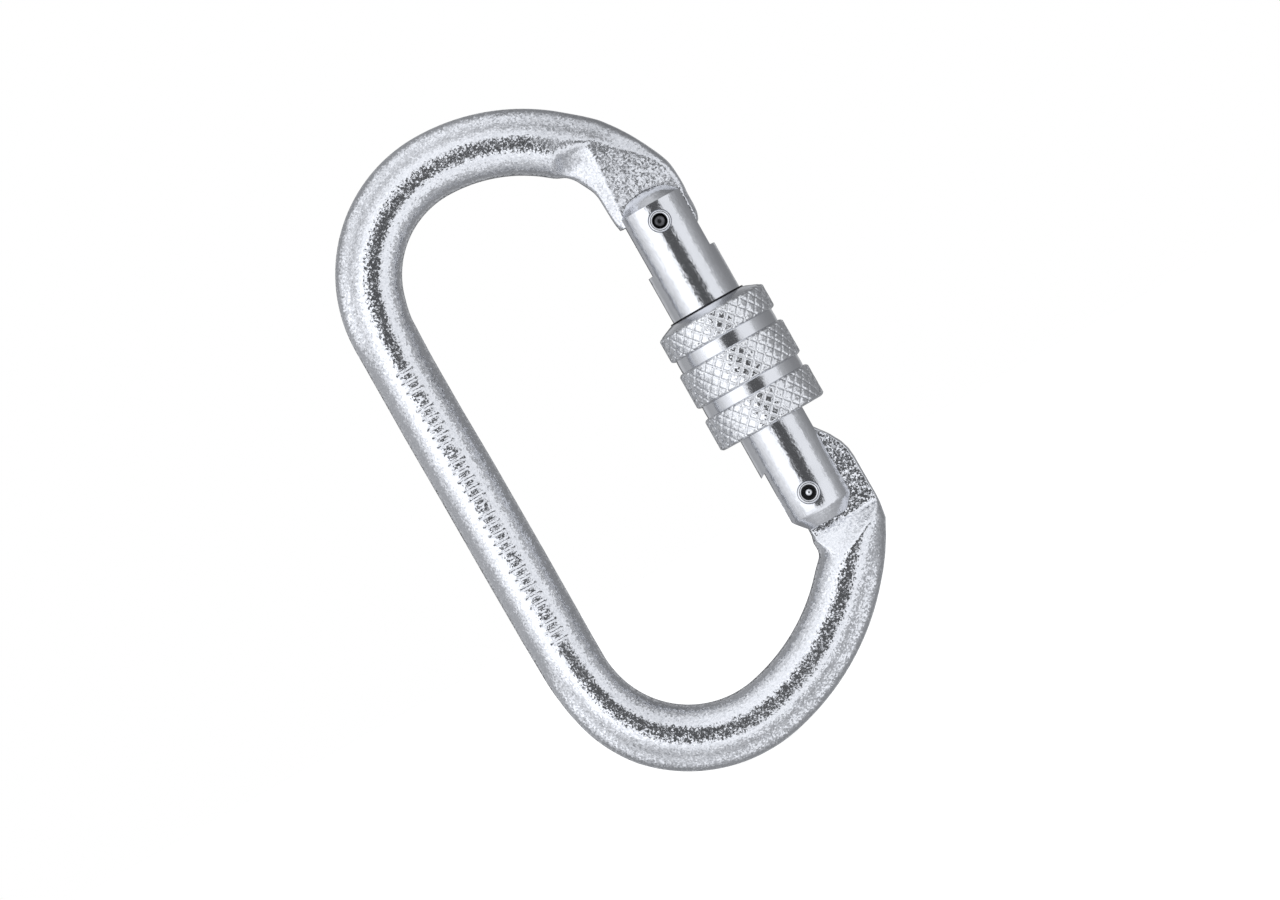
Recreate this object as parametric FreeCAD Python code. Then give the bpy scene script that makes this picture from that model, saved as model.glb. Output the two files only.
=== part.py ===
import FreeCAD
import Part
import math
import os

# Oval screw-lock carabiner in zinc-plated steel, stood upright.
# Millimetres.  +Z runs along its length with the nose end up, +X points from the spine to the
# gate, and Y is across the bar.  The origin is the middle of the whole object.

V = FreeCAD.Vector
X_AXIS = V(1, 0, 0)
Y_AXIS = V(0, 1, 0)
Z_AXIS = V(0, 0, 1)

# ---- driving sizes ----------------------------------------------------------------------------
bar_d = 10.0                 # round bar that the body is bent from
gate_to_spine = 44.7         # between the spine's and the gate's centre lines
centreline_height = 97.16    # between the centre lines of the two bows
nut_d = 17.9
nut_length = 20.5
gate_d = 11.44
gate_length = 57.0
pin_spacing = 46.6           # hinge rivet to latch pin
tongue_t = 5.4               # thickness of the two flattened ends of the bar
slot_w = 5.8                 # slots in the gate that take those ends

top_bow_r = 18.8             # centre line, spine side of the top bow
nose_bow_r = 28.2            # centre line, gate side of the top bow
nose_turn_r = 9.5            # last turn of the bar, down into the gate
bottom_bow_r = 19.75         # centre line, spine side of the bottom bow
heel_bow_r = 34.8            # centre line, gate side of the bottom bow
heel_bow_start = 12.0        # degrees past the lowest point where the flatter bow starts
heel_bow_end = 22.0          # degrees above level where the bar runs into the hinge tongue

nut_travel = 16.0            # from unlocked to fully over the nose
plunger_travel = 1.15        # pushed in by the hinge tongue as the gate opens

# ---- sizes that follow ------------------------------------------------------------------------
bar_r = bar_d / 2
gate_r = gate_d / 2
tongue_r = gate_r + 0.06     # rounded edge of the nose, under the lock nut's lip
nut_r = nut_d / 2
width = bar_r + gate_to_spine + nut_r
spine_x = -width / 2 + bar_r
gate_x = spine_x + gate_to_spine
crown_z = centreline_height / 2
gate_top = 29.3
gate_bottom = gate_top - gate_length
hinge_x = gate_x - 0.6       # the rivet sits a little towards the spine
hinge_z = -22.45
latch_z = hinge_z + pin_spacing
nut_top = 9.75
nut_bottom = nut_top - nut_length

# ---- pins and their holes ---------------------------------------------------------------------
pin_r = 1.4
pin_head_r = 1.8
pin_head_t = 1.0
pin_half_length = 5.5
running_gap = 0.05           # rivet in the hinge tongue
notch_gap = 0.15             # latch pin in the nose notch

# ---- inside of the gate -----------------------------------------------------------------------
bore_r = 2.9
bore_top = 4.2
plunger_r = 2.8
plunger_bottom = hinge_z + 4.1
plunger_shoulder = -9.0
plunger_stem_r = 1.45
plunger_stem_top = -4.6
spring_wire_r = 0.4
spring_r = 2.15              # centre of the wire
spring_turns = 7

# ---- thread and lock nut ----------------------------------------------------------------------
thread_crest_r = 6.2
thread_pitch = 2.0
thread_bottom = -1.0
thread_turns = 4
liner_bore_r = 6.35
liner_r = 7.0
sleeve_bore_r = liner_r + running_gap
lip_bore_r = 5.95            # top edge of the nut, clear of the gate and of the nose
lip_length = 1.3


def rod(radius, start, direction, length):
    return Part.makeCylinder(radius, length, start, direction)


def turned(profile, x=0.0):
    """Solid of revolution about a vertical line at x, from (radius, z) points."""
    points = [V(r, 0, z) for r, z in profile]
    points.append(points[0])
    face = Part.Face(Part.makePolygon(points))
    solid = face.revolve(V(0, 0, 0), Z_AXIS, 360)
    solid.translate(V(x, 0, 0))
    return solid


def plate(outline, half_thickness):
    """Flat plate on both sides of the XZ plane, from (x, z) points."""
    points = [V(x, -half_thickness, z) for x, z in outline]
    points.append(points[0])
    face = Part.Face(Part.makePolygon(points))
    return face.extrude(V(0, 2 * half_thickness, 0))


def on_arc(centre, radius, degrees):
    angle = math.radians(degrees)
    return V(centre.x + radius * math.cos(angle), 0, centre.z + radius * math.sin(angle))


def arc_edge(centre, radius, start, end):
    middle = (start + end) / 2
    points = [on_arc(centre, radius, a) for a in (start, middle, end)]
    return Part.Arc(*points).toShape()


def bar_path():
    """Centre line of the bent bar, from the hinge end round the spine to the nose."""
    bottom = V(spine_x + bottom_bow_r, 0, -crown_z + bottom_bow_r)
    joint_angle = -90 + heel_bow_start
    heel = on_arc(bottom, bottom_bow_r - heel_bow_r, joint_angle)
    top = V(spine_x + top_bow_r, 0, crown_z - top_bow_r)
    nose = V(top.x, 0, crown_z - nose_bow_r)
    reach = gate_x - nose.x - nose_turn_r
    nose_angle = math.degrees(math.acos(reach / (nose_bow_r - nose_turn_r)))
    turn = on_arc(nose, nose_bow_r - nose_turn_r, nose_angle)
    edges = [
        arc_edge(heel, heel_bow_r, -heel_bow_end, joint_angle),
        arc_edge(bottom, bottom_bow_r, joint_angle, -180),
        Part.makeLine(V(spine_x, 0, bottom.z), V(spine_x, 0, top.z)),
        arc_edge(top, top_bow_r, 180, 90),
        arc_edge(nose, nose_bow_r, 90, nose_angle),
        arc_edge(turn, nose_turn_r, nose_angle, 0),
        Part.makeLine(V(gate_x, 0, turn.z), V(gate_x, 0, gate_top - 2)),
    ]
    return Part.Wire(edges)


def bent_bar():
    path = bar_path()
    start = path.Edges[0]
    tangent = start.tangentAt(start.FirstParameter)
    ring = Part.Wire(Part.makeCircle(bar_r, start.valueAt(start.FirstParameter), tangent))
    return path.makePipeShell([ring], True, True)


def cheek(inner, outer):
    """Cutter beside a tongue: its outline at the tongue's face, wider at the bar's surface."""
    reach = bar_r + 0.6
    rings = []
    for outline, y in ((inner, tongue_t / 2), (outer, reach)):
        points = [V(x, y, z) for x, z in outline]
        points.append(points[0])
        rings.append(Part.makePolygon(points))
    near = Part.makeLoft(rings, True, True)
    far = near.mirror(V(0, 0, 0), Y_AXIS)
    return [near, far]


def nose_cheeks():
    """The nose is pressed to a slope that runs gently from the bend's crown to the tongue's face."""
    start = gate_top - 0.3
    length = 13
    rise = 0.19 * length
    half = tongue_t / 2
    reach = bar_r + 3
    points = [(half, start - 12), (half, start), (half + rise, start + length), (reach, start + length),
              (reach, start - 12), (half, start - 12)]
    outline = Part.makePolygon([V(gate_x - 13, y, z) for y, z in points])
    near = Part.Face(outline).extrude(V(22, 0, 0))
    return [near, near.mirror(V(0, 0, 0), Y_AXIS)]


def heel_cheeks():
    """Room beside the hinge tongue for the gate's lower end to turn."""
    left = hinge_x - 12
    right = hinge_x + 16
    foot = hinge_z - 5.95
    slope = 5.0
    inner = [(left, foot), (right, foot), (right, 0), (left, 0)]
    outer = [(left, foot - slope), (right, foot - slope), (right, 0), (left, 0)]
    return cheek(inner, outer)


def nose_tongue():
    """Flattened end that enters the gate's upper slot, round-edged, with a hooked lower end."""
    tip = latch_z - 4.3
    outline = [(-tongue_r, gate_top + 0.5), (-tongue_r, latch_z - 1.0), (-4.3, latch_z - 1.6),
               (-4.3, tip + 0.8), (-3.3, tip), (3.4, tip), (tongue_r, latch_z - 2.2),
               (tongue_r, gate_top + 0.5)]
    flat = plate([(gate_x + x, z) for x, z in outline], tongue_t / 2)
    edge = rod(tongue_r, V(gate_x, 0, tip - 1), Z_AXIS, gate_top + 2 - tip)
    return flat.common(edge)


def nose_blank():
    """End of the bar where it is pressed wide, with a bevel along both edges."""
    outline = [(-tongue_r, -3.0), (-6.1, -1.5), (-6.2, 2.7), (-6.95, 4.7), (-8.0, 6.7), (-5.5, 9.2),
               (0.5, 9.3), (3.7, 6.6), (4.75, 4.5), (5.4, 3.0), (5.8, 1.5), (tongue_r, -3.0)]
    edge_half = 1.95
    crown_half = 4.3
    rings = []
    for half, share in ((-crown_half, 0.4), (-edge_half, 1), (edge_half, 1), (crown_half, 0.4)):
        points = [V(gate_x + x * share, half, gate_top + 2 + (z - 2) * share) for x, z in outline]
        points.append(points[0])
        rings.append(Part.makePolygon(points))
    return Part.makeLoft(rings, True, True)


def latch_notch():
    """Mouth open towards the spine that takes the latch pin."""
    r = pin_r + notch_gap
    seat = rod(r, V(gate_x, -bar_r, latch_z), Y_AXIS, bar_d)
    mouth = plate([(gate_x, latch_z - r), (gate_x, latch_z + r), (gate_x - 9, latch_z + r + 0.4),
                   (gate_x - 9, latch_z - r)], bar_r)
    return seat.fuse(mouth)


def hinge_tongue():
    """Flattened end in the lower slot: a shelf for the plunger and a fin on the outer side."""
    shelf = 4.0
    outline = [(-3.2, shelf), (3.9, shelf), (3.9, 9.9), (4.3, 9.9), (5.45, 8.45), (7.15, 6.2),
               (8.3, 4.1), (8.75, 2.6), (8.85, -5.2), (8.2, -7.6), (6.6, -10.5), (2.0, -11.5),
               (-3.2, -9.3), (-3.0, -7.2), (-2.7, -5.0), (-3.6, -3.6), (-4.2, -1.8), (-4.3, 1.6)]
    return plate([(hinge_x + x, hinge_z + z) for x, z in outline], tongue_t / 2)


def body():
    below_nose = Part.makeBox(14, 12, 20, V(gate_x - 7, -6, gate_top - 19))
    shape = bent_bar().cut(below_nose)
    shape = shape.fuse(nose_blank())
    for cutter in nose_cheeks() + heel_cheeks():
        shape = shape.cut(cutter)
    shape = shape.fuse([nose_tongue(), hinge_tongue()])
    shape = shape.cut(latch_notch())
    hole = rod(pin_r + running_gap, V(hinge_x, -bar_r, hinge_z), Y_AXIS, bar_d)
    return shape.cut(hole).removeSplitter()


def thread_profile():
    """Raised thread under the nut, as a run of vees one pitch apart."""
    profile = []
    for turn in range(thread_turns + 1):
        z = thread_bottom + turn * thread_pitch
        profile.append((gate_r, z))
        if turn < thread_turns:
            profile.append((thread_crest_r, z + 0.35 * thread_pitch))
            profile.append((thread_crest_r, z + 0.65 * thread_pitch))
    return profile


def gate_bar():
    profile = [(0, gate_bottom), (4.1, gate_bottom), (gate_r, gate_bottom + 2.2)]
    profile += thread_profile()
    profile += [(gate_r, gate_top - 2.05), (4.9, gate_top - 1.0), (2.9, gate_top), (0, gate_top)]
    return turned(profile, gate_x)


def slots():
    """Upper slot for the nose, and lower slot that runs higher on the outer side."""
    reach = gate_r + 1
    upper = Part.makeBox(2 * reach, slot_w, 30, V(gate_x - reach, -slot_w / 2, 17.45))
    low_end = -17.25
    high_end = -9.5
    slope = (high_end - low_end) / gate_d
    lower = plate([(gate_x - reach, gate_bottom - 5), (gate_x + reach, gate_bottom - 5),
                   (gate_x + reach, high_end + slope), (gate_x - reach, low_end - slope)],
                  slot_w / 2)
    return upper.fuse(lower)


def pin_solid(x, z, recess):
    """Headed pin through both ears, with a hollow or a set-down ring in each head."""
    pin = rod(pin_r, V(x, -pin_half_length, z), Y_AXIS, 2 * pin_half_length)
    for side in (-1, 1):
        head = rod(pin_head_r, V(x, side * pin_half_length, z), V(0, -side, 0), pin_head_t)
        pin = pin.fuse(head)
        pin = pin.cut(recess(x, z, side))
    return pin.removeSplitter()


def hollow(x, z, side):
    return rod(1.05, V(x, side * (pin_half_length + 0.1), z), V(0, -side, 0), 1.5)


def ring_groove(x, z, side):
    start = V(x, side * (pin_half_length + 0.1), z)
    depth = 0.6
    return rod(1.05, start, V(0, -side, 0), depth).cut(rod(0.5, start, V(0, -side, 0), depth))


def pin_seat(x, z):
    """Hole in the ears with a set-down for each head."""
    through = rod(pin_r, V(x, -gate_r - 1, z), Y_AXIS, gate_d + 2)
    for side in (-1, 1):
        edge = V(x, side * (pin_half_length - pin_head_t), z)
        through = through.fuse(rod(pin_head_r, edge, V(0, side, 0), 3))
    return through


def gate():
    shape = gate_bar().cut(slots())
    bore = rod(bore_r, V(gate_x, 0, gate_bottom - 1), Z_AXIS, bore_top - gate_bottom + 1)
    shape = shape.cut(bore)
    shape = shape.cut(pin_seat(gate_x, latch_z))
    return shape.cut(pin_seat(hinge_x, hinge_z))


def plunger():
    chamfer = 0.3
    return turned([(0, plunger_bottom), (plunger_r - chamfer, plunger_bottom),
                   (plunger_r, plunger_bottom + chamfer), (plunger_r, plunger_shoulder),
                   (plunger_stem_r, plunger_shoulder), (plunger_stem_r, plunger_stem_top),
                   (0, plunger_stem_top)], gate_x)


def gate_spring():
    """Compression spring between the plunger's shoulder and the end of the bore."""
    foot = plunger_shoulder + spring_wire_r + 0.05
    height = bore_top - spring_wire_r - 0.05 - foot
    helix = Part.makeHelix(height / spring_turns, height, spring_r)
    ring = Part.Wire(Part.makeCircle(spring_wire_r, V(spring_r, 0, 0), Y_AXIS))
    coil = Part.Wire(helix.Edges).makePipeShell([ring], True, True)
    coil.translate(V(gate_x, 0, foot))
    return coil


def nut_liner():
    """Threaded bush of the lock nut: it carries the nut's travel along the gate."""
    return turned([(liner_bore_r, nut_bottom + 0.6), (liner_r, nut_bottom + 0.6),
                   (liner_r, nut_top - lip_length - 0.6),
                   (liner_bore_r, nut_top - lip_length - 0.6)], gate_x)


def lock_nut():
    """Sleeve with three knurled bands, two smooth grooves and a coned top."""
    groove_r = 8.25
    top_cone = 1.2
    edge = 0.3
    grooves = ((4.45, 2.45), (-3.5, -5.35))
    profile = [(lip_bore_r, nut_top), (lip_bore_r, nut_top - lip_length),
               (sleeve_bore_r, nut_top - lip_length), (sleeve_bore_r, nut_bottom),
               (nut_r - edge, nut_bottom), (nut_r, nut_bottom + edge)]
    for upper, lower in reversed(grooves):
        profile += [(nut_r, lower), (groove_r, lower), (groove_r, upper), (nut_r, upper)]
    profile.append((nut_r, nut_top - top_cone))
    return turned(profile, gate_x)


NODES = {
    "body": body,
    "gate": gate,
    "hinge_rivet": lambda: pin_solid(hinge_x, hinge_z, ring_groove),
    "latch_pin": lambda: pin_solid(gate_x, latch_z, hollow),
    "plunger": plunger,
    "gate_spring": gate_spring,
    "nut_thread_liner": nut_liner,
    "lock_nut": lock_nut,
}


def main():
    os.makedirs("parts", exist_ok=True)
    for name, make in NODES.items():
        shape = make()
        shape.exportStep("parts/" + name + ".step")
        box = shape.BoundBox
        print(name, shape.isValid(), len(shape.Solids), round(shape.Volume, 1),
              [round(value, 2) for value in (box.XMin, box.YMin, box.ZMin, box.XMax, box.YMax, box.ZMax)])


main()
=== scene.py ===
import math

import bmesh
import bpy
import numpy as np
from mathutils import Matrix, Vector


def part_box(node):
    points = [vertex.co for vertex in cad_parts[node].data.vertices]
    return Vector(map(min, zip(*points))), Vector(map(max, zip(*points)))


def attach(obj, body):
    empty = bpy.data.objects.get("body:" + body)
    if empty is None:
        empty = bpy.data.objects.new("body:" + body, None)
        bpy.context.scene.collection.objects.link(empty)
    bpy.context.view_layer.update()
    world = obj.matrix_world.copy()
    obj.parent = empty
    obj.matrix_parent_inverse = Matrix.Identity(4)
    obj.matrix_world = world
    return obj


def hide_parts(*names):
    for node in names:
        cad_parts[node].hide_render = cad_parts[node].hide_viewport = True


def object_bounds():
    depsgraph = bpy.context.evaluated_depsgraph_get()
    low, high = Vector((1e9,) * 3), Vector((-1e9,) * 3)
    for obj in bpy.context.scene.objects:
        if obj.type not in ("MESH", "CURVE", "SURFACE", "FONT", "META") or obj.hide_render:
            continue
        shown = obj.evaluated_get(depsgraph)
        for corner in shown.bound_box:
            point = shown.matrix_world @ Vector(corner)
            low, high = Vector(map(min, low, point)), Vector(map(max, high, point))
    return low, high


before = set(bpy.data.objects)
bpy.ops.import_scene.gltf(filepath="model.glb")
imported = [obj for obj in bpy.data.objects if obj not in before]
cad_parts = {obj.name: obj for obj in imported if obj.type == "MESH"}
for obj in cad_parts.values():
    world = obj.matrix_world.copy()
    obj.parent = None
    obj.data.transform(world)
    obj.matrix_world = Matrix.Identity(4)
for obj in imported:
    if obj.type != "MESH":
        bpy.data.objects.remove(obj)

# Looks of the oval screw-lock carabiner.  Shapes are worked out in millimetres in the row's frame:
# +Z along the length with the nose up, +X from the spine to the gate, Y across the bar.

MM = 0.001
TAU = 2 * math.pi
cad_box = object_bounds()


def box_mm(node):
    low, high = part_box(node)
    return low / MM, high / MM


body_low, body_high = box_mm("body")
gate_low, gate_high = box_mm("gate")
nut_low, nut_high = box_mm("lock_nut")
latch_low, latch_high = box_mm("latch_pin")
hinge_low, hinge_high = box_mm("hinge_rivet")

# ---- sizes ------------------------------------------------------------------------------------
bar_r = 5.0
crown_z = body_high.z - bar_r
spine_x = body_low.x + bar_r
gate_x = (gate_low.x + gate_high.x) / 2
gate_top = gate_high.z
gate_bottom = gate_low.z
gate_r = 5.72
slot_half = 2.9
tongue_half = 2.7
pin_r = 1.4
pin_head_r = 1.8
rivet_hole_r = 1.45
notch_r = 1.55
bore_r = 2.88
groove_r = 8.25
thread_pitch = 2.0
circle_points = 64
latch_z = (latch_low.z + latch_high.z) / 2
hinge_x = (hinge_low.x + hinge_high.x) / 2
hinge_z = (hinge_low.z + hinge_high.z) / 2
nut_r = (nut_high.x - nut_low.x) / 2
nut_top = nut_high.z
nut_bottom = nut_low.z

# ---- centre line of the bar -------------------------------------------------------------------
top_bow_r = 18.8
nose_bow_r = 28.2
nose_turn_r = 9.5
bottom_bow_r = 19.75
heel_bow_r = 34.8
heel_bow_start = 12.0


def smooth(value, low, high):
    """0 below low, 1 above high, and an S curve between them."""
    t = np.clip((np.asarray(value, float) - low) / (high - low), 0, 1)
    return t * t * (3 - 2 * t)


def soft_min(a, b, blend):
    """Smaller of two values, rounded off where they cross."""
    share = np.clip(0.5 + 0.5 * (b - a) / blend, 0, 1)
    return b * (1 - share) + a * share - blend * share * (1 - share)


# ---- mesh helpers -----------------------------------------------------------------------------
def make_object(name, vertices, faces, smooth_angle=35):
    mesh = bpy.data.meshes.new(name)
    mesh.from_pydata((np.asarray(vertices, float) * MM).tolist(), [], faces)
    mesh.update()
    piece = bpy.data.objects.new(name, mesh)
    bpy.context.scene.collection.objects.link(piece)
    shade(piece, smooth_angle)
    return piece


def shade(piece, smooth_angle=35):
    mesh = piece.data
    mesh.polygons.foreach_set("use_smooth", [True] * len(mesh.polygons))
    mesh.set_sharp_from_angle(angle=math.radians(smooth_angle))


def fix_normals(piece):
    bm = bmesh.new()
    bm.from_mesh(piece.data)
    bmesh.ops.remove_doubles(bm, verts=bm.verts, dist=1e-7)
    bmesh.ops.recalc_face_normals(bm, faces=bm.faces)
    bm.to_mesh(piece.data)
    bm.free()


def ring_faces(rings, points):
    """Quads between successive closed rings of points."""
    faces = []
    for ring in range(rings - 1):
        for k in range(points):
            a = ring * points + k
            b = ring * points + (k + 1) % points
            faces.append((a, b, b + points, a + points))
    return faces


def apply_modifiers(piece):
    depsgraph = bpy.context.evaluated_depsgraph_get()
    mesh = bpy.data.meshes.new_from_object(piece.evaluated_get(depsgraph))
    piece.modifiers.clear()
    old = piece.data
    piece.data = mesh
    bpy.data.meshes.remove(old)


def carve(piece, cutters):
    """Takes each cutter away from the piece, and deletes the cutter."""
    for cutter in cutters:
        modifier = piece.modifiers.new("carve", "BOOLEAN")
        modifier.operation = "DIFFERENCE"
        modifier.solver = "EXACT"
        modifier.object = cutter
        apply_modifiers(piece)
        bpy.data.objects.remove(cutter)


def round_edges(piece, width):
    sharpest_left_alone = 40
    modifier = piece.modifiers.new("round", "BEVEL")
    modifier.width = width * MM
    modifier.segments = 2
    modifier.limit_method = "ANGLE"
    modifier.angle_limit = math.radians(sharpest_left_alone)
    modifier.harden_normals = True
    apply_modifiers(piece)


def turned(name, profile, x, segments=160, axis="Z", y_side=1, centre_z=0.0):
    """Closed solid of revolution from (radius, height) points that start and end on the axis."""
    vertices = []
    for radius, height in profile[1:-1]:
        for k in range(segments):
            angle = TAU * k / segments
            if axis == "Z":
                vertices.append((x + radius * math.cos(angle), radius * math.sin(angle), height))
            else:
                vertices.append((x + radius * math.cos(angle), y_side * height,
                                 centre_z + radius * math.sin(angle)))
    rings = len(profile) - 2
    faces = ring_faces(rings, segments)
    for end, ring in ((profile[0], 0), (profile[-1], rings - 1)):
        centre = len(vertices)
        if axis == "Z":
            vertices.append((x, 0, end[1]))
        else:
            vertices.append((x, y_side * end[1], centre_z))
        for k in range(segments):
            faces.append((ring * segments + k, ring * segments + (k + 1) % segments, centre))
    piece = make_object(name, vertices, faces)
    fix_normals(piece)
    shade(piece)
    return piece


def plate(name, outline, half, y_centre=0.0):
    """Prism across the bar from (x, z) points."""
    count = len(outline)
    vertices = [(x, y_centre + side * half, z) for side in (-1, 1) for x, z in outline]
    faces = [tuple(range(count)), tuple(range(2 * count - 1, count - 1, -1))]
    faces += [(k, (k + 1) % count, (k + 1) % count + count, k + count) for k in range(count)]
    piece = make_object(name, vertices, faces)
    fix_normals(piece)
    return piece


def circle(radius, x, z):
    angles = [TAU * k / circle_points for k in range(circle_points)]
    return [(x + radius * math.cos(angle), z + radius * math.sin(angle)) for angle in angles]


def rod(name, radius, x, z):
    """Cylinder right across the bar, for cutting holes."""
    reach = 12.0
    return plate(name, circle(radius, x, z), reach)


# ---- the bent bar -----------------------------------------------------------------------------
def arc_points(centre, radius, start, end, spacing):
    steps = max(2, int(abs(math.radians(end - start)) * radius / spacing))
    points = []
    for k in range(steps):
        angle = math.radians(start + (end - start) * k / steps)
        out = np.array([math.cos(angle), math.sin(angle)])
        points.append((centre + radius * out, out))
    return points


def bar_ribs():
    """(point on the centre line, outward direction) from the heel round the spine to the nose."""
    coarse = 0.33
    fine = 0.13
    heel_end = -39
    bottom = np.array([spine_x + bottom_bow_r, -crown_z + bottom_bow_r])
    joint = -90 + heel_bow_start
    turn = math.radians(joint)
    heel = bottom + (bottom_bow_r - heel_bow_r) * np.array([math.cos(turn), math.sin(turn)])
    top = np.array([spine_x + top_bow_r, crown_z - top_bow_r])
    nose = np.array([top[0], crown_z - nose_bow_r])
    reach = gate_x - nose[0] - nose_turn_r
    nose_angle = math.degrees(math.acos(reach / (nose_bow_r - nose_turn_r)))
    turn = math.radians(nose_angle)
    last = nose + (nose_bow_r - nose_turn_r) * np.array([math.cos(turn), math.sin(turn)])
    ribs = arc_points(heel, heel_bow_r, heel_end, joint, coarse)
    ribs += arc_points(bottom, bottom_bow_r, joint, -180, coarse)
    left = np.array([-1.0, 0.0])
    for z in np.arange(bottom[1], top[1], fine):
        ribs.append((np.array([spine_x, z]), left))
    ribs += arc_points(top, top_bow_r, 180, 90, coarse)
    ribs += arc_points(nose, nose_bow_r, 90, nose_angle, coarse)
    ribs += arc_points(last, nose_turn_r, nose_angle, 0, coarse * 0.7)
    return ribs


# Where the spine is a little thinner than the round bar: z, then mm off the outer edge, then mm off
# the inner edge.
spine_worn = ((-42, -37, -34, -31, -28, -22, -10, 5, 14, 23, 30, 34),
              (0, 0.35, 0.6, 0.65, 0.45, 0.3, 0.18, 0.1, 0, 0, 0, 0),
              (0, 0, 0, 0, 0, 0, 0, 0.1, 0.28, 0.33, 0.2, 0))


def bar_outline():
    """Inner and outer edge of the round bar, rib by rib."""
    inner, outer = [], []
    for point, out in bar_ribs():
        bend = smooth(abs(point[1]), crown_z - 24, crown_z - 14)
        on_spine = point[0] < spine_x + 12
        thin_out = np.interp(point[1], spine_worn[0], spine_worn[1]) * on_spine
        thin_in = np.interp(point[1], spine_worn[0], spine_worn[2]) * on_spine
        inner.append(point - out * (bar_r + 0.06 * bend - thin_in))
        outer.append(point + out * (bar_r - thin_out))
    return np.array(inner), np.array(outer)


def resample(points, spacing):
    """Evenly spaced points along straight stretches between a few given ones."""
    points = np.asarray(points, float)
    lengths = np.linalg.norm(np.diff(points, axis=0), axis=1)
    steps = np.r_[0, np.cumsum(lengths)]
    count = max(2, int(steps[-1] / spacing) + 1)
    at = np.linspace(0, steps[-1], count)
    return np.column_stack([np.interp(at, steps, points[:, k]) for k in (0, 1)])


# Edges of the hinge tongue, from its top down to its foot and on to the round bar: (x, z) from the
# hinge rivet.
heel_inside = ((-4.3, 9.9), (-4.3, 1.6), (-4.15, -2.0), (-3.6, -3.6), (-2.7, -4.9), (-2.75, -6.1))
heel_outside = ((4.3, 9.9), (5.45, 8.45), (7.15, 6.2), (8.2, 4.3), (8.65, 2.9), (8.82, 1.2),
                (8.85, -5.2), (8.78, -6.6))
foot_inside = ((-2.75, -6.1), (-3.05, -7.2), (-3.0, -8.5), (-3.25, -9.3), (-3.8, -9.95))
foot_outside = ((8.78, -6.6), (8.4, -9.05), (7.07, -11.6), (5.6, -13.95), (4.1, -16.0))


def spaced(edge, count, origin):
    """The same number of points along either edge of a tongue."""
    edge = resample([(origin[0] + x, origin[1] + z) for x, z in edge], 0.1)
    pick = np.linspace(0, len(edge) - 1, count)
    index = np.arange(len(edge))
    return np.column_stack([np.interp(pick, index, edge[:, k]) for k in (0, 1)])


# Edges of the nose from the end of the bend to the tip: (x from the gate's axis, z).
nose_inside = ((-10.1, 37.5), (-9.0, 37.05), (-8.0, 36.0), (-7.5, 35.05), (-6.95, 34.0),
               (-6.5, 33.1), (-6.25, 32.0), (-6.2, 30.5), (-6.15, 28.5), (-6.05, 27.0),
               (-5.84, 26.0), (-5.8, 23.4), (-5.7, 22.9), (-4.4, 22.3), (-4.25, 20.7), (-3.3, 19.85))
nose_outside = ((-2.6, 44.2), (-0.35, 42.1), (1.4, 39.75), (2.6, 37.9), (3.7, 35.9), (4.75, 33.8),
                (5.4, 32.3), (5.78, 31.0), (5.9, 29.4), (5.98, 27.4), (5.84, 26.0), (5.84, 24.0),
                (5.7, 22.7), (5.35, 21.7), (3.4, 19.85))


def body_edges():
    """All ribs of the body, from the top of the hinge tongue to the tip of the nose."""
    heel_ribs = 60
    foot_ribs = 44
    nose_ribs = 110
    bar_in, bar_out = bar_outline()
    pin = (hinge_x, hinge_z)
    heel_in = np.vstack([spaced(heel_inside, heel_ribs, pin), spaced(foot_inside, foot_ribs, pin)[1:]])
    heel_out = np.vstack([spaced(heel_outside, heel_ribs, pin), spaced(foot_outside, foot_ribs, pin)[1:]])
    nose_in = spaced(nose_inside, nose_ribs, (gate_x, 0))
    nose_out = spaced(nose_outside, nose_ribs, (gate_x, 0))
    keep = (bar_in[:, 1] < 0) | (bar_in[:, 0] < nose_in[0][0] - 0.3)
    bar_in, bar_out = bar_in[keep], bar_out[keep]
    inner = np.vstack([heel_in, bar_in, nose_in])
    outer = np.vstack([heel_out, bar_out, nose_out])
    return ease(inner, len(heel_in), len(nose_in)), ease(outer, len(heel_in), len(nose_in))


def ease(edge, heel_count, nose_count):
    """Takes the kinks out of an edge where bar and tongue meet."""
    total = len(edge)
    at_heel = (heel_count - 12, heel_count + 14, 12)
    at_nose = (total - nose_count - 6, total - 22, 8)
    for start, end, passes in (at_heel, at_nose):
        for _ in range(passes):
            edge[start:end] = (edge[start - 1:end - 1] + 2 * edge[start:end] + edge[start + 1:end + 1]) / 4
    return edge


# Edges of the pressed face on the nose: z, then x from the gate's axis.
face_left = ((28.0, 38.0), (-4.6, -3.96))
face_right = ((27.0, 28.5, 31.07, 33.45, 36.0, 38.6, 41.0), (5.1, 5.0, 4.7, 3.2, 0.8, -2.9, -7.5))


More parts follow.
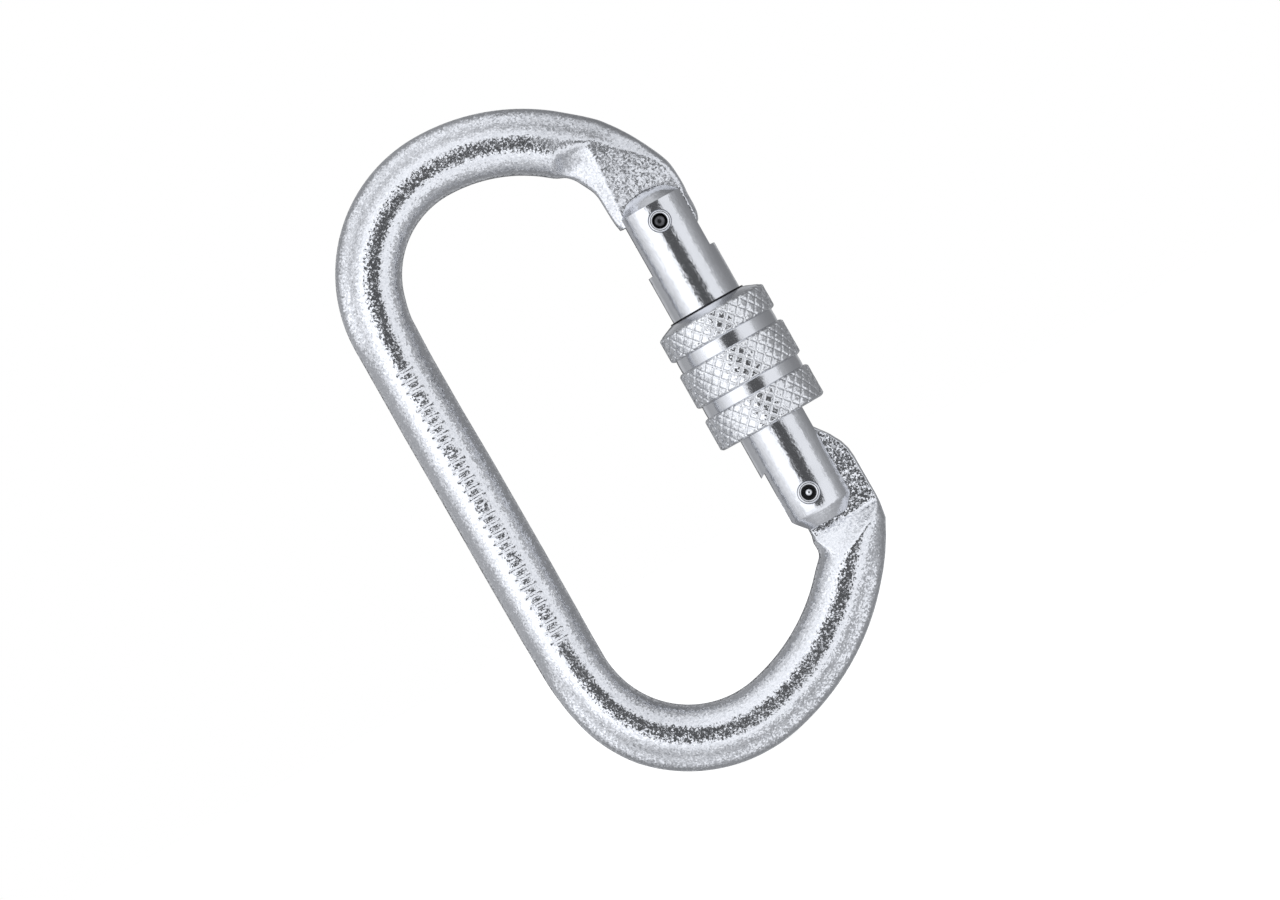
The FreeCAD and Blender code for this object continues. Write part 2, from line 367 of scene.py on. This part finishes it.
def flat_limit(x, z):
    """How thick the body may be on each side of its middle plane at (x, z).

    The nose is pressed to a face that climbs gently from the tongue to the bend's crown and falls
    away along both edges.  The hinge tongue is flat and ends in a ramp up to the round bar.
    """
    deep = 6.0
    under_nut_r = 5.85
    face_end = 39.5
    across = x - gate_x
    climb = np.maximum(0, z - (gate_top - 0.3))
    nose = tongue_half + 0.205 * climb - 0.004 * climb ** 2 + 0.4 * np.maximum(0, z - face_end)
    beyond = np.maximum(0, np.interp(z, *face_left) - across)
    nose = nose - 0.5 * beyond * (1 - smooth(z, 37, 41.5)) + 0.9 * np.maximum(0, -8.5 - across)
    steepness = np.interp(z, (28, 31, 38.6), (1, 0.9, 0.575))
    beyond = np.maximum(0, across - np.interp(z, *face_right)) * steepness
    nose = nose - (0.42 * beyond + 0.12 * beyond ** 2) * (1 - 0.8 * smooth(z, 35, face_end))
    # The raised nut's lip passes over the lower end of the nose.
    under_nut = np.sqrt(np.maximum(0, under_nut_r ** 2 - across ** 2)) + 6 * smooth(z, 26.0, 28.5)
    nose = np.where((z > 8) & (x > gate_x - 13), np.minimum(nose, under_nut), deep)
    foot = np.maximum(0, hinge_z - 5.9 - z)
    heel = tongue_half + 0.34 * foot * (1 + 0.165 * np.maximum(0, across + 2))
    heel = np.where((z < 0) & (x > gate_x - 12), heel, deep)
    return np.minimum(nose, heel)


def tongue_share(x, z):
    """1 where the section is a flat tongue with square edges, 0 where it is a round bar.

    The nose's edges are a little rounder than the hinge tongue's.
    """
    if x < gate_x - 14:
        return 0.0
    if z > 0:
        return 0.75 * float(1 - smooth(z, 33, 40))
    return float(smooth(z, hinge_z - 11.5, hinge_z - 7))


def spine_marks(z, across):
    """Depth of a row of plain ticks pressed into the front of the spine, every sixth one short."""
    depth = np.zeros_like(z)
    pitch = 1.55
    ticks_each_way = 15
    tick_depth = 0.12
    rim_height = 0.04
    for k in range(-ticks_each_way, ticks_each_way + 1):
        half = 0.3 if k % 6 == 0 else 1.15
        centre = k * pitch
        wide = 1 - smooth(np.abs(z - centre), 0.12, 0.34)
        tall = 1 - smooth(np.abs(across), half - 0.1, half + 0.25)
        rim = smooth(np.abs(z - centre), 0.2, 0.4) * (1 - smooth(np.abs(z - centre), 0.45, 0.7))
        depth += (tick_depth * wide - rim_height * rim) * tall
    return depth


# Cross-section of the bends: (degrees from straight outwards, radius in mm).  The bending tool has
# left a flat on each outer flank, with a shallow crease above it and a corner at the rim.
bend_section = ((0, 5.12), (9, 5.16), (17, 5.28), (24.5, 5.28), (31.5, 5.16), (36.5, 4.97),
                (42.5, 4.75), (49.5, 4.60), (55.5, 4.56), (60.5, 4.59), (68, 4.64), (74.5, 4.72),
                (81, 4.755), (87, 4.765), (93, 4.80), (99, 4.86), (104.5, 4.94), (110.5, 5.03),
                (116.5, 5.10), (122.5, 5.14), (128.5, 5.22), (135, 5.30), (142, 5.38), (151, 5.41),
                (162, 5.28), (171, 5.14), (180, 5.08))


def bend_radius(angles):
    """Radius of the bends' cross-section at each angle, as a smooth closed curve."""
    degrees = np.degrees(np.abs((angles + math.pi) % TAU - math.pi))
    known = np.array(bend_section)
    fine = np.linspace(0, 180, 361)
    values = np.interp(fine, known[:, 0], known[:, 1])
    for _ in range(25):
        values[1:-1] = (values[:-2] + 2 * values[1:-1] + values[2:]) / 4
    return np.interp(degrees, fine, values)


def make_body():
    inner, outer = body_edges()
    section = 108
    angles = TAU * np.arange(section) / section
    cosine, sine = np.cos(angles), np.sin(angles)
    pressed = bend_radius(angles) / bar_r
    vertices = []
    for a, b in zip(inner, outer):
        half_width = np.linalg.norm(b - a) / 2
        middle = (a + b) / 2
        out = (b - a) / (2 * half_width)
        bend = float(smooth(abs(middle[1]), crown_z - 25, crown_z - 15))
        if middle[0] > gate_x - 14:
            bend *= float(smooth(abs(middle[1]), gate_top + 1, gate_top + 8))
        radius = 1 + bend * (pressed - 1)
        wide = np.where(cosine > 0, 1.024, 1.016) * bend + 1 - bend
        along = middle[None, :] + out[None, :] * (half_width * cosine * radius / wide)[:, None]
        square = tongue_share(middle[0], middle[1])
        height = bar_r * np.abs(sine) ** (1 - 0.5 * square) * radius
        blend = 0.2 + 0.7 * smooth(gate_x - along[:, 0], 4.5, 7) * smooth(along[:, 1], 31, 35)
        height = soft_min(height, flat_limit(along[:, 0], along[:, 1]), blend)
        height = np.where(np.abs(sine) < 1e-6, 0, np.maximum(height, 0))
        if middle[0] < 0 and abs(middle[1]) < 26:
            front = sine < -0.3
            marks = spine_marks(np.full(section, middle[1]), cosine * bar_r + 0.2)
            height = height - np.where(front, marks, 0)
        y = np.sign(sine) * height
        for k in range(section):
            vertices.append((along[k, 0], y[k], along[k, 1]))
    rings = len(inner)
    faces = ring_faces(rings, section)
    for ring, flip in ((0, False), (rings - 1, True)):
        base = ring * section
        half = section // 2
        for k in range(half):
            quad = [base + k, base + k + 1, base + section - k - 1, base + (section - k) % section]
            quad = list(dict.fromkeys(quad))
            if flip:
                quad.reverse()
            if len(quad) > 2:
                faces.append(tuple(quad))
    piece = make_object("bent_bar", vertices, faces, 50)
    fix_normals(piece)
    shape_tongues(piece)
    fix_normals(piece)
    shade(piece, 42)
    return piece


def shape_tongues(piece):
    """Shelf and fin of the hinge tongue, rivet hole, and the notch for the latch pin."""
    shelf = hinge_z + 4.0
    fin = hinge_x + 3.9
    over_shelf = [(hinge_x - 9, shelf), (fin, shelf), (fin, shelf + 12), (hinge_x - 9, shelf + 12)]
    corner = [(hinge_x - 9, shelf + 1), (hinge_x - 9, shelf - 2.4), (hinge_x - 4.3, shelf - 2.4),
              (hinge_x - 3.2, shelf), (hinge_x - 3.2, shelf + 1)]
    mouth = [(gate_x, latch_z - notch_r), (gate_x, latch_z + notch_r),
             (gate_x - 9, latch_z + notch_r + 0.4), (gate_x - 9, latch_z - notch_r)]
    carve(piece, [plate("cut", over_shelf, 6), plate("cut", corner, 6), plate("cut", mouth, 6),
                  rod("cut", notch_r, gate_x, latch_z), rod("cut", rivet_hole_r, hinge_x, hinge_z)])


# ---- gate -------------------------------------------------------------------------------------
def make_gate():
    top = gate_top
    bottom = gate_bottom
    profile = [(0, bottom), (3.9, bottom), (4.25, bottom + 0.12), (5.55, bottom + 2.0),
               (gate_r, bottom + 2.35), (gate_r, bottom + 9), (gate_r, top - 9),
               (gate_r, top - 2.2), (5.62, top - 2.1), (5.05, top - 1.3), (4.5, top - 0.75),
               (3.8, top - 0.3), (2.9, top - 0.03), (2.0, top), (0, top)]
    piece = turned("gate_bar", profile, gate_x)
    reach = gate_r + 1
    upper = plate("cut", [(gate_x - reach, 17.45), (gate_x + reach, 17.45),
                          (gate_x + reach, top + 5), (gate_x - reach, top + 5)], slot_half)
    low_end = -17.25
    high_end = -9.5
    slope = (high_end - low_end) / (2 * gate_r)
    lower = plate("cut", [(gate_x - reach, bottom - 5), (gate_x + reach, bottom - 5),
                          (gate_x + reach, high_end + slope), (gate_x - reach, low_end - slope)], slot_half)
    bore = turned("cut", [(0, bottom - 1), (bore_r, bottom - 1), (bore_r, 3.4), (1.2, 4.2), (0, 4.2)],
                  gate_x, 96)
    seats = []
    for x, z in ((gate_x, latch_z), (hinge_x, hinge_z)):
        seats.append(rod("cut", pin_r, x, z))
        for side in (-1, 1):
            seats.append(plate("cut", circle(pin_head_r, x, z), 2, side * 6.5))
    carve(piece, [upper, lower, bore] + seats)
    fix_normals(piece)
    round_edges(piece, 0.11)
    return piece


def make_thread():
    """Raised helical thread under the nut."""
    root = gate_r - 0.06
    crest = 6.15
    low = -1.0
    turns = 4.0
    steps = 96
    shape = [(root, -0.62), (crest, -0.26), (crest, 0.26), (root, 0.62)]
    vertices = []
    total = int(steps * (turns - 0.65))
    for k in range(total + 1):
        angle = TAU * k / steps
        fade = min(1.0, k / 24, (total - k) / 24)
        z = low + 0.7 + thread_pitch * k / steps
        for radius, rise in shape:
            r = root + (radius - root) * fade
            vertices.append((gate_x + r * math.cos(angle), r * math.sin(angle), z + rise))
    faces = ring_faces(total + 1, 4)
    faces += [(0, 1, 2, 3), tuple(total * 4 + k for k in (3, 2, 1, 0))]
    piece = make_object("gate_thread", vertices, faces, 20)
    fix_normals(piece)
    shade(piece, 20)
    return piece


# ---- pins -------------------------------------------------------------------------------------
def pin_profile(hollow):
    """(radius, distance from the middle) from the middle out to the end of one half of a pin."""
    body = [(0, 0), (1.38, 0), (1.38, 4.6), (1.78, 4.6), (1.78, 5.3)]
    if hollow:
        return body + [(1.72, 5.38), (1.6, 5.46), (1.45, 5.5), (1.3, 5.47), (1.17, 5.38), (1.1, 5.2),
                       (1.05, 4.5), (0.95, 4.25), (0.7, 4.08), (0.4, 3.99), (0.15, 3.96), (0, 3.955)]
    return body + [(1.72, 5.38), (1.58, 5.46), (1.42, 5.5), (1.26, 5.46), (1.14, 5.34), (1.08, 5.0),
                   (1.0, 4.7), (0.72, 4.7), (0.66, 5.0), (0.56, 5.22), (0.36, 5.38), (0.15, 5.44),
                   (0, 5.45)]


def make_pin(name, x, z, hollow):
    profile = pin_profile(hollow)
    halves = [turned(name + "_half", profile, x, circle_points, "Y", side, z) for side in (-1, 1)]
    return join(name, halves)


def join(name, parts):
    bm = bmesh.new()
    for part in parts:
        bm.from_mesh(part.data)
    mesh = bpy.data.meshes.new(name)
    bm.to_mesh(mesh)
    bm.free()
    for part in parts:
        bpy.data.objects.remove(part)
    piece = bpy.data.objects.new(name, mesh)
    bpy.context.scene.collection.objects.link(piece)
    shade(piece, 40)
    return piece


# ---- lock nut ---------------------------------------------------------------------------------
def knurl(angle, z):
    """Height of a diamond knurl, 0 in the grooves and 1 on the points."""
    teeth = 28
    rise = 2.05
    twist = TAU / (teeth * rise)
    waves = []
    for side in (-1, 1):
        phase = teeth * (angle + side * z * twist) / TAU
        waves.append(np.abs((phase % 1.0) - 0.5) * 2)
    return smooth(np.minimum(waves[0], waves[1]), 0.0, 0.36)


def make_nut():
    """Sleeve with real diamond knurling on its three bands."""
    around = 704
    depth = 0.19
    edge_r = nut_r - 0.5
    step = 0.02
    groove_crown = 0.025
    bands = ((nut_bottom, -5.35), (-3.5, 2.45), (4.45, nut_top - 1.15))
    angle = TAU * np.arange(around) / around
    wobble = 0.015 * (np.sin(3 * angle) - 1)
    rows = []

    def plain(*rings):
        for radius, z in rings:
            rows.append((np.full(around, radius), z))

    for index, (low, high) in enumerate(bands):
        if index == 0:
            plain((6.6, low + step), (nut_r - 0.62, low))
        else:
            plain((groove_r, low - step))
        plain((edge_r, low + step))
        for z in np.arange(low + 0.12, high - 0.06, 0.115):
            edge = min(z - low, high - z)
            fade = float(smooth(edge, 0.0, 0.4))
            top = nut_r - 0.3 * (1 - fade)
            rows.append((top - depth * (1 - knurl(angle, z)) * (0.35 + 0.65 * fade) + wobble, z))
        plain((edge_r, high - step))
        if index < 2:
            middle = (high + bands[index + 1][0]) / 2
            plain((groove_r, high + step), (groove_r + groove_crown, middle))
    # The thin lip at the top gets the painted gap shadow in mark_turned.
    cone_and_lip = ((nut_r - 0.75, nut_top - 1.0), (6.55, nut_top - 0.3), (6.25, nut_top - 0.22),
                    (6.2, nut_top), (6.0, nut_top), (5.96, nut_top - 1.3))
    inside = ((6.9, nut_top - 1.32), (7.06, nut_top - 1.6), (7.06, nut_bottom + 0.5),
              (6.75, nut_bottom + 0.15))
    plain(*cone_and_lip, *inside)
    vertices = []
    for radius, z in rows:
        for k in range(around):
            x, y = radius[k] * math.cos(angle[k]), radius[k] * math.sin(angle[k])
            vertices.append((gate_x + x, y, z))
    count = len(rows)
    faces = ring_faces(count, around)
    last = (count - 1) * around
    for k in range(around):
        other = (k + 1) % around
        faces.append((last + k, last + other, other, k))
    piece = make_object("knurled_nut", vertices, faces, 60)
    fix_normals(piece)
    shade(piece, 55)
    mark_turned(piece, bands)
    return piece


def mark_turned(piece, bands):
    """Second material on the grooves and the cone, third on the lip round the gate, which is painted near
    black as the shadow in the gap between nut and gate.
    """
    for face in piece.data.polygons:
        middle = face.center / MM
        radius = math.hypot(middle.x - gate_x, middle.y)
        knurled = radius > groove_r + 0.05 and any(low < middle.z < high for low, high in bands)
        # Painted shadow: the faces of the lip next to the gate get the near-black material.
        if middle.z > nut_top - 0.2 and radius < 6.3:
            face.material_index = 2
        elif not knurled:
            face.material_index = 1


# ---- materials --------------------------------------------------------------------------------
class Nodes:
    """Short way to write a material's node tree."""

    def __init__(self, name):
        self.material = bpy.data.materials.new(name)
        self.material.use_nodes = True
        self.tree = self.material.node_tree
        self.shader = self.tree.nodes["Principled BSDF"]

    def add(self, kind, inputs=(), **settings):
        node = self.tree.nodes.new("ShaderNode" + kind)
        for key, value in settings.items():
            setattr(node, key, value)
        for key, value in dict(inputs).items():
            if isinstance(value, bpy.types.NodeSocket):
                self.tree.links.new(value, node.inputs[key])
            else:
                node.inputs[key].default_value = value
        return node

    def link(self, out, socket):
        self.tree.links.new(out, self.shader.inputs[socket])

    def noise(self, where, scale, detail=2.0, rough=0.5):
        node = self.add("TexNoise", {"Vector": where, "Scale": scale, "Detail": detail, "Roughness": rough})
        return node.outputs["Fac"]

    def span(self, value, low, high, new_low, new_high):
        node = self.add("MapRange", {"Value": value, "From Min": low, "From Max": high,
                                     "To Min": new_low, "To Max": new_high})
        return node.outputs["Result"]

    def tint(self, value, dark, light):
        node = self.add("Mix", {0: value, 6: (*dark, 1), 7: (*light, 1)}, data_type="RGBA")
        return node.outputs[2]

    def bump(self, height, distance, normal=None):
        inputs = {"Height": height, "Distance": distance, "Strength": 1.0}
        if normal is not None:
            inputs["Normal"] = normal
        return self.add("Bump", inputs).outputs["Normal"]

    def depth(self, where):
        """Distance from the object's middle plane."""
        y = self.add("SeparateXYZ", {0: where}).outputs["Y"]
        return self.add("Math", {0: y}, operation="ABSOLUTE").outputs[0]

    def times(self, a, b):
        return self.add("Math", {0: a, 1: b}, operation="MULTIPLY").outputs[0]

    def pressed_nose(self, where):
        """1 on the nose's pressed face, which climbs away from the middle plane, and 0 elsewhere."""
        place = self.add("SeparateXYZ", {0: where}).outputs
        on_gate_side = self.span(place["X"], 0.0095, 0.0115, 0, 1)
        above_gate = self.span(place["Z"], 0.026, 0.028, 0, 1)
        climb = self.span(place["Z"], 0.029, 0.040, 0, 0.0022)
        under = self.add("Math", {0: self.depth(where), 1: climb}, operation="SUBTRACT").outputs[0]
        return self.times(self.times(on_gate_side, above_gate), self.span(under, 0.0030, 0.0034, 1, 0))

    def crystals(self, where, size, tilt, normal):
        """Turns the normal a little, by a different amount in each crystal of the plating."""
        cells = self.add("TexVoronoi", {"Vector": where, "Scale": 1 / size}).outputs["Color"]
        lean = self.add("VectorMath", {0: cells, 1: (0.5, 0.5, 0.5)}, operation="SUBTRACT").outputs[0]
        lean = self.add("VectorMath", {0: lean, "Scale": tilt}, operation="SCALE").outputs[0]
        turned_normal = self.add("VectorMath", {0: normal, 1: lean}, operation="ADD").outputs[0]
        return self.add("VectorMath", {0: turned_normal}, operation="NORMALIZE").outputs[0]


def zinc(name, dark, light, rough, grain_depth, wave_depth, crystal, tilt, flat_tilt=None,
         nose_tilt=None):
    """Zinc-plated steel: flat crystals that each lean their own way, over fine grain and soft waves.

    With flat_tilt, the crystals lean further near the bar's middle plane, where its ends are pressed
    flat, and by nose_tilt on the nose's pressed face, which is also more matt.
    """
    nodes = Nodes(name)
    where = nodes.add("TexCoord").outputs["Object"]
    if flat_tilt:
        depth = nodes.depth(where)
        tilt = nodes.span(depth, 0.0029, 0.0033, flat_tilt, tilt)
        nose = nodes.pressed_nose(where)
        tilt = nodes.span(nose, 0, 1, tilt, nose_tilt)
    grain = nodes.noise(where, 3400.0, 1.5, 0.6)
    cloud = nodes.noise(where, 140.0, 3.0)
    wave = nodes.noise(where, 420.0, 1.0)
    nodes.link(nodes.tint(nodes.span(grain, 0.38, 0.62, 0, 1), dark, light), "Base Color")
    roughness = nodes.span(cloud, 0.3, 0.7, rough[0], rough[1])
    if flat_tilt:
        matt = nodes.span(nose, 0, 1, 0, 0.14)
        roughness = nodes.add("Math", {0: roughness, 1: matt}, operation="ADD").outputs[0]
    nodes.link(roughness, "Roughness")
    nodes.shader.inputs["Metallic"].default_value = 1.0
    normal = nodes.bump(wave, wave_depth, nodes.bump(grain, grain_depth))
    nodes.link(nodes.crystals(where, crystal, tilt, normal), "Normal")
    return nodes.material


def turned_zinc(name, line_scale, line_depth, streak_depth, tilt):
    """Smooth lathe-turned zinc with turning lines round it and faint streaks along it."""
    nodes = Nodes(name)
    where = nodes.add("TexCoord").outputs["Object"]
    lines = nodes.add("Mapping", {"Vector": where, "Scale": (20, 20, line_scale)}).outputs["Vector"]
    turning = nodes.noise(lines, 1.0, 3.0)
    along = nodes.add("Mapping", {"Vector": where, "Scale": (900, 900, 260)}).outputs["Vector"]
    streaks = nodes.noise(along, 1.0, 3.0)
    grain = nodes.noise(where, 5200.0, 2.0)
    cloud = nodes.noise(where, 180.0, 2.0)
    nodes.link(nodes.tint(cloud, (0.70, 0.71, 0.74), (0.82, 0.83, 0.86)), "Base Color")
    nodes.link(nodes.span(grain, 0.3, 0.7, 0.1, 0.2), "Roughness")
    nodes.shader.inputs["Metallic"].default_value = 1.0
    normal = nodes.bump(streaks, streak_depth, nodes.bump(turning, line_depth))
    patches = nodes.add("Mapping", {"Vector": where, "Scale": (4500, 4500, 1800)}).outputs["Vector"]
    nodes.link(nodes.crystals(patches, 1.0, tilt, nodes.bump(grain, 0.000008, normal)), "Normal")
    return nodes.material


def pin_metal(name):
    """Bright pin head, with painted shade darkening whatever lies below its face: the rivet's groove round
    its dome and the hollow of the latch pin.
    """
    nodes = Nodes(name)
    where = nodes.add("TexCoord").outputs["Object"]
    grain = nodes.noise(where, 3800.0, 2.0)
    cloud = nodes.noise(where, 1500.0, 2.0)
    light = nodes.tint(cloud, (0.62, 0.63, 0.66), (0.8, 0.81, 0.84))
    # Painted shade: near-black colour for the recesses below the pin's face, standing in for the shade that
    # falls in them.
    dark = nodes.tint(cloud, (0.03, 0.03, 0.032), (0.16, 0.16, 0.17))
    unshaded_face = nodes.span(nodes.depth(where), 0.0052, 0.00536, 0, 1)
    mix = nodes.add("Mix", {0: unshaded_face, 6: dark, 7: light}, data_type="RGBA").outputs[2]
    nodes.link(mix, "Base Color")
    nodes.link(nodes.span(grain, 0.3, 0.7, 0.12, 0.26), "Roughness")
    nodes.shader.inputs["Metallic"].default_value = 1.0
    nodes.link(nodes.bump(cloud, 0.00002, nodes.bump(grain, 0.00001)), "Normal")
    return nodes.material


def paint(piece, *materials):
    marks = [face.material_index for face in piece.data.polygons]
    piece.data.materials.clear()
    for material in materials:
        piece.data.materials.append(material)
    if len(materials) > 1:
        piece.data.polygons.foreach_set("material_index", marks)


# ---- assembly ---------------------------------------------------------------------------------
bar_zinc = zinc("bar_zinc", (0.72, 0.735, 0.77), (0.85, 0.86, 0.89), (0.1, 0.18), 0.00003, 0.00002,
                0.00025, 0.23, 0.36, 0.25)
knurl_zinc = zinc("knurl_zinc", (0.72, 0.73, 0.76), (0.86, 0.87, 0.89), (0.1, 0.18), 0.00003,
                  0.00001, 0.0003, 0.26)
groove_zinc = turned_zinc("groove_zinc", 2600, 0.00005, 0.00001, 0.03)
gate_zinc = turned_zinc("gate_zinc", 4200, 0.00001, 0.00003, 0.07)
# The pins' colour holds painted shade in their recesses.
pin_zinc_painted_shade = pin_metal("pin_zinc_painted_shade")
# Near-black material for the nut's lip: a painted shadow of the gap round the gate.
painted_gap_shadow = zinc("painted_gap_shadow", (0.02, 0.02, 0.022), (0.05, 0.05, 0.055), (0.35, 0.5), 0.00001,
                 0.00001, 0.0004, 0.1)
inner_steel = zinc("inner_steel", (0.35, 0.35, 0.37), (0.5, 0.5, 0.52), (0.3, 0.5), 0.00001,
                   0.00001, 0.0004, 0.1)



def make_latch_pin():
    return make_pin("latch_pin_steel", gate_x, latch_z, True)


def make_hinge_rivet():
    return make_pin("hinge_rivet_steel", hinge_x, hinge_z, False)


PIECES = (
    (make_body, "frame", ("body",), "zinc_bar", (bar_zinc,)),
    (make_gate, "gate", ("gate",), "zinc_turned", (gate_zinc,)),
    (make_thread, "gate", (), "zinc_turned", (gate_zinc,)),
    (make_latch_pin, "gate", ("latch_pin",), "pin_steel", (pin_zinc_painted_shade,)),
    (make_hinge_rivet, "gate", ("hinge_rivet",), "pin_steel", (pin_zinc_painted_shade,)),
    (make_nut, "nut_sleeve", ("lock_nut",), "zinc_knurled", (knurl_zinc, groove_zinc, painted_gap_shadow)),
)
for make, body, replaced, slot_name, materials in PIECES:
    piece = make()
    paint(piece, *materials)
    if replaced:
        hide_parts(*replaced)
    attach(piece, body)
HIDDEN_NODES = (("plunger", inner_steel), ("gate_spring", inner_steel), ("nut_thread_liner", gate_zinc))
for node, material in HIDDEN_NODES:
    paint(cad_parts[node], material)


# ---- studio -----------------------------------------------------------------------------------
def make_floor():
    size = 1.5
    z = cad_box[0].z
    mesh = bpy.data.meshes.new("studio_floor")
    corners = [(-size, -size, z), (size, -size, z), (size, size, z), (-size, size, z)]
    mesh.from_pydata(corners, [], [(0, 1, 2, 3)])
    floor = bpy.data.objects.new("studio_floor", mesh)
    bpy.context.scene.collection.objects.link(floor)
    nodes = Nodes("pale_floor")
    nodes.shader.inputs["Base Color"].default_value = (0.5, 0.5, 0.5, 1)
    nodes.shader.inputs["Roughness"].default_value = 0.9
    nodes.shader.inputs["Emission Color"].default_value = (1, 1, 1, 1)
    nodes.shader.inputs["Emission Strength"].default_value = 0.85
    mesh.materials.append(nodes.material)
    floor.visible_glossy = False


def make_world():
    """A light tent round the object with a hole for the lens, and white behind everything."""
    world = bpy.data.worlds.new("light_tent")
    bpy.context.scene.world = world
    world.use_nodes = True
    tree = world.node_tree
    tree.nodes.clear()

    def add(kind, **settings):
        node = tree.nodes.new("ShaderNode" + kind)
        for key, value in settings.items():
            setattr(node, key, value)
        return node

    where = add("TexCoord")
    turn = add("VectorRotate", rotation_type="Z_AXIS")
    turn.inputs["Angle"].default_value = math.radians(-6)
    tree.links.new(where.outputs["Generated"], turn.inputs["Vector"])
    split = add("SeparateXYZ")
    tree.links.new(turn.outputs[0], split.inputs[0])
    front = add("Math", operation="ARCCOSINE")
    flip = add("Math", operation="MULTIPLY")
    flip.inputs[1].default_value = -1.0
    tree.links.new(split.outputs["Y"], flip.inputs[0])
    tree.links.new(flip.outputs[0], front.inputs[0])
    share = add("Math", operation="DIVIDE")
    share.inputs[1].default_value = math.pi
    tree.links.new(front.outputs[0], share.inputs[0])
    left = ((0, 0.1), (17, 0.1), (22, 1.05), (28, 1.45), (58, 1.45), (67, 1.1), (86, 0.8), (98, 0.48),
            (138, 0.42), (152, 0.6), (160, 0.6), (166, 0.12), (180, 0.12))
    right = ((0, 0.1), (17, 0.1), (22, 0.85), (29, 1.0), (56, 1.0), (63, 0.52), (85, 0.35), (105, 0.28),
             (138, 0.26), (150, 0.5), (160, 0.5), (166, 0.12), (180, 0.12))
    # Level from straight down to straight up, on either side: the tent is darker where it is open.
    left_height = ((0, 0.6), (36, 0.62), (72, 1.0), (103, 1.0), (135, 0.78), (180, 0.76))
    right_height = ((0, 1.1), (36, 1.1), (72, 1.0), (103, 1.0), (135, 0.8), (180, 0.76))
    upward = add("MapRange")
    for key, value in (("From Min", -1.0), ("From Max", 1.0)):
        upward.inputs[key].default_value = value
    tree.links.new(split.outputs["Z"], upward.inputs["Value"])
    ramps = []
    around, rise = share.outputs[0], upward.outputs["Result"]
    for source, stops in ((around, left), (around, right), (rise, left_height), (rise, right_height)):
        ramp = add("ValToRGB")
        tree.links.new(source, ramp.inputs[0])
        elements = ramp.color_ramp.elements
        elements.remove(elements[1])
        for degrees, level in stops:
            element = elements[0] if degrees == 0 else elements.new(degrees / 180)
            element.color = (level * 0.987, level * 0.995, level * 1.01, 1)
        ramps.append(ramp)
    lean = add("VectorMath", operation="DOT_PRODUCT")
    lean.inputs[1].default_value = (0.92, 0.0, -0.38)
    tree.links.new(turn.outputs[0], lean.inputs[0])
    side = add("MapRange")
    for key, value in (("From Min", -0.25), ("From Max", 0.3)):
        side.inputs[key].default_value = value
    tree.links.new(lean.outputs["Value"], side.inputs["Value"])
    sides = []
    for near, far in ((0, 1), (2, 3)):
        mix = add("Mix", data_type="RGBA")
        tree.links.new(side.outputs["Result"], mix.inputs[0])
        tree.links.new(ramps[near].outputs["Color"], mix.inputs[6])
        tree.links.new(ramps[far].outputs["Color"], mix.inputs[7])
        sides.append(mix.outputs[2])
    dimmed = add("Mix", data_type="RGBA", blend_type="MULTIPLY")
    dimmed.inputs[0].default_value = 1.0
    tree.links.new(sides[0], dimmed.inputs[6])
    tree.links.new(sides[1], dimmed.inputs[7])
    tent = add("Background")
    tree.links.new(dimmed.outputs[2], tent.inputs["Color"])
    paper = add("Background")
    paper.inputs["Color"].default_value = (1, 1, 1, 1)
    path = add("LightPath")
    choose = add("MixShader")
    tree.links.new(path.outputs["Is Camera Ray"], choose.inputs[0])
    tree.links.new(tent.outputs[0], choose.inputs[1])
    tree.links.new(paper.outputs[0], choose.inputs[2])
    out = add("OutputWorld")
    tree.links.new(choose.outputs[0], out.inputs["Surface"])


def make_camera():
    """Square on to the object's flat side, from far off, and rolled so that the top leans left."""
    lens = 150.0
    sensor = 36.0
    seen_width = 193.9
    roll = math.radians(29.5)
    target = Vector((0.8, 0.0, -4.4)) * MM
    data = bpy.data.cameras.new("camera")
    data.lens = lens
    data.sensor_width = sensor
    data.clip_start = 0.01
    data.clip_end = 10.0
    camera = bpy.data.objects.new("camera", data)
    bpy.context.scene.collection.objects.link(camera)
    distance = seen_width * MM * lens / sensor
    right = Vector((math.cos(roll), 0, -math.sin(roll)))
    up = Vector((math.sin(roll), 0, math.cos(roll)))
    back = right.cross(up)
    camera.matrix_world = Matrix.Translation(target + back * distance) @ Matrix(
        (right, up, back)).transposed().to_4x4()
    bpy.context.scene.camera = camera


make_floor()
make_world()
make_camera()
bpy.context.scene.view_settings.view_transform = "Standard"
